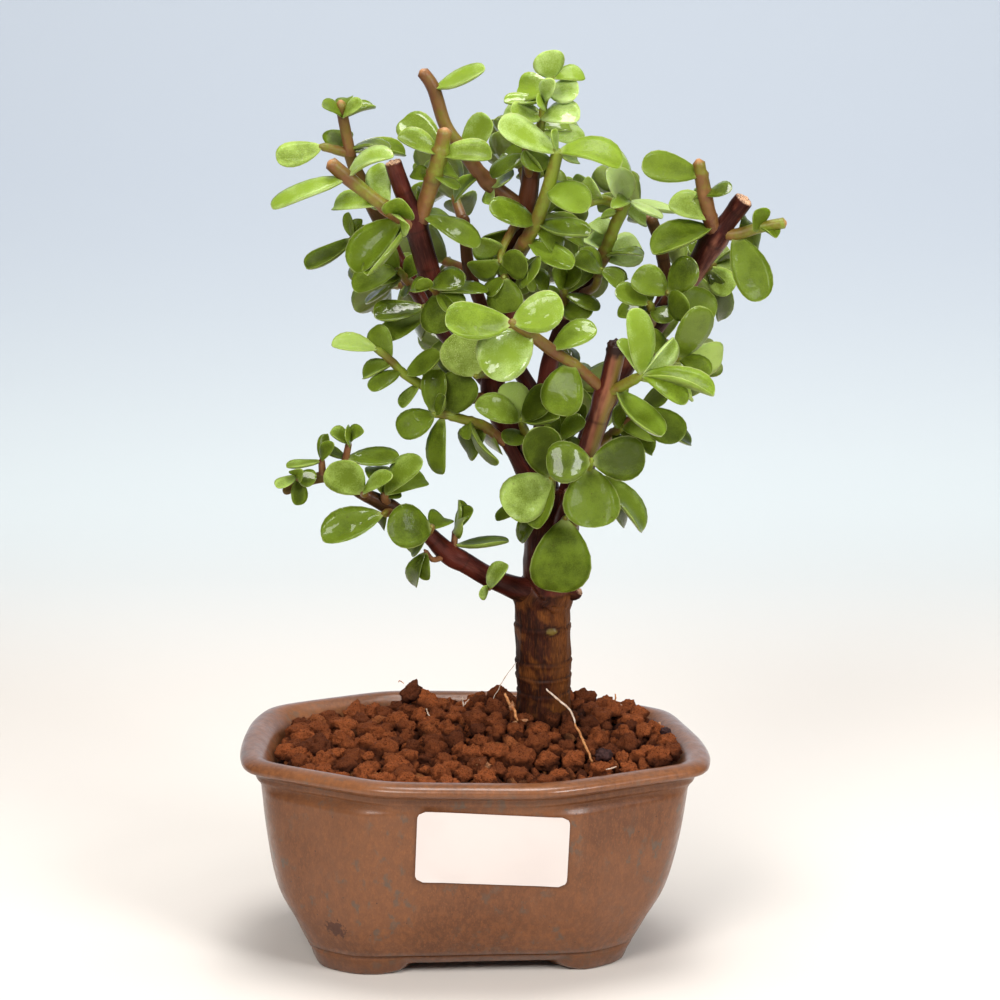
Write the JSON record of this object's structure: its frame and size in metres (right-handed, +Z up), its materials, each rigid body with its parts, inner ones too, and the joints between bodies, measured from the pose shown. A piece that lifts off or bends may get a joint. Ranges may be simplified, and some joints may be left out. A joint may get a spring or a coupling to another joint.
{
  "type": "dwarf jade bonsai",
  "caption": "Small upright succulent tree with thick green leaves, cut-back woody limbs and one low side branch, in an oblong glazed bowl filled with red-brown soil grains.",
  "frame": {"origin": "on the ground, under the middle of the bounding box of pot and crown", "axes": "+Z up the trunk, -Y towards the front with the label, +X to the right seen from the front"},
  "size_m": [0.1466, 0.112, 0.2438],
  "materials": {
    "glaze": "satin",
    "soil": "matte",
    "paper": "matte",
    "wood": "satin",
    "leaf": "gloss",
    "young_leaf": "gloss"
  },
  "bodies": {
    "root": {"pot": "glaze", "soil": "soil", "label": "paper", "wood": "wood", "spray_tall_cut": "young_leaf", "spray_left_fork": "leaf", "spray_left_slant": "young_leaf", "spray_far_left_cut": "leaf", "spray_left_reach": "leaf", "spray_left_mid": "leaf", "spray_left_glossy": "leaf", "spray_left_pair": "leaf", "spray_left_twig": "leaf", "spray_left_low": "leaf", "spray_left_round": "leaf", "spray_crown_tip": "young_leaf", "spray_crown_front": "young_leaf", "spray_crown_dark": "leaf", "spray_leader_left": "leaf", "spray_leader_right": "leaf", "spray_leader_mid": "leaf", "spray_mid_right": "young_leaf", "spray_mid_fan": "leaf", "spray_mid_low": "leaf", "spray_right_up_cut": "leaf", "spray_right_tip": "leaf", "spray_right_side": "leaf", "spray_right_glossy": "leaf", "spray_right_inner": "leaf", "spray_right_light": "leaf", "spray_front_whorl": "young_leaf", "spray_front_twig": "young_leaf", "spray_front_bright": "leaf", "spray_centre_low": "leaf", "spray_trunk_right": "leaf", "spray_trunk_left": "leaf", "spray_trunk_front": "leaf", "spray_low_right": "leaf", "spray_branch_tip": "leaf", "spray_branch_end": "leaf", "spray_branch_cup": "leaf", "spray_branch_mid": "leaf", "spray_branch_light": "leaf", "spray_branch_low": "leaf", "spray_branch_round": "leaf", "spray_branch_fan": "leaf", "spray_branch_under": "leaf", "spray_branch_base": "leaf", "rear_spray_crown": "leaf", "rear_spray_leader_top": "leaf", "rear_spray_leader": "leaf", "rear_spray_far_top": "leaf", "rear_spray_far_mid": "leaf", "rear_spray_far_low": "leaf", "rear_spray_back_top": "leaf", "rear_spray_back_low": "leaf", "rear_spray_right_top": "leaf", "rear_spray_right_mid": "leaf", "rear_spray_right_low": "leaf", "rear_spray_left": "leaf"}
  },
  "joints": []
}
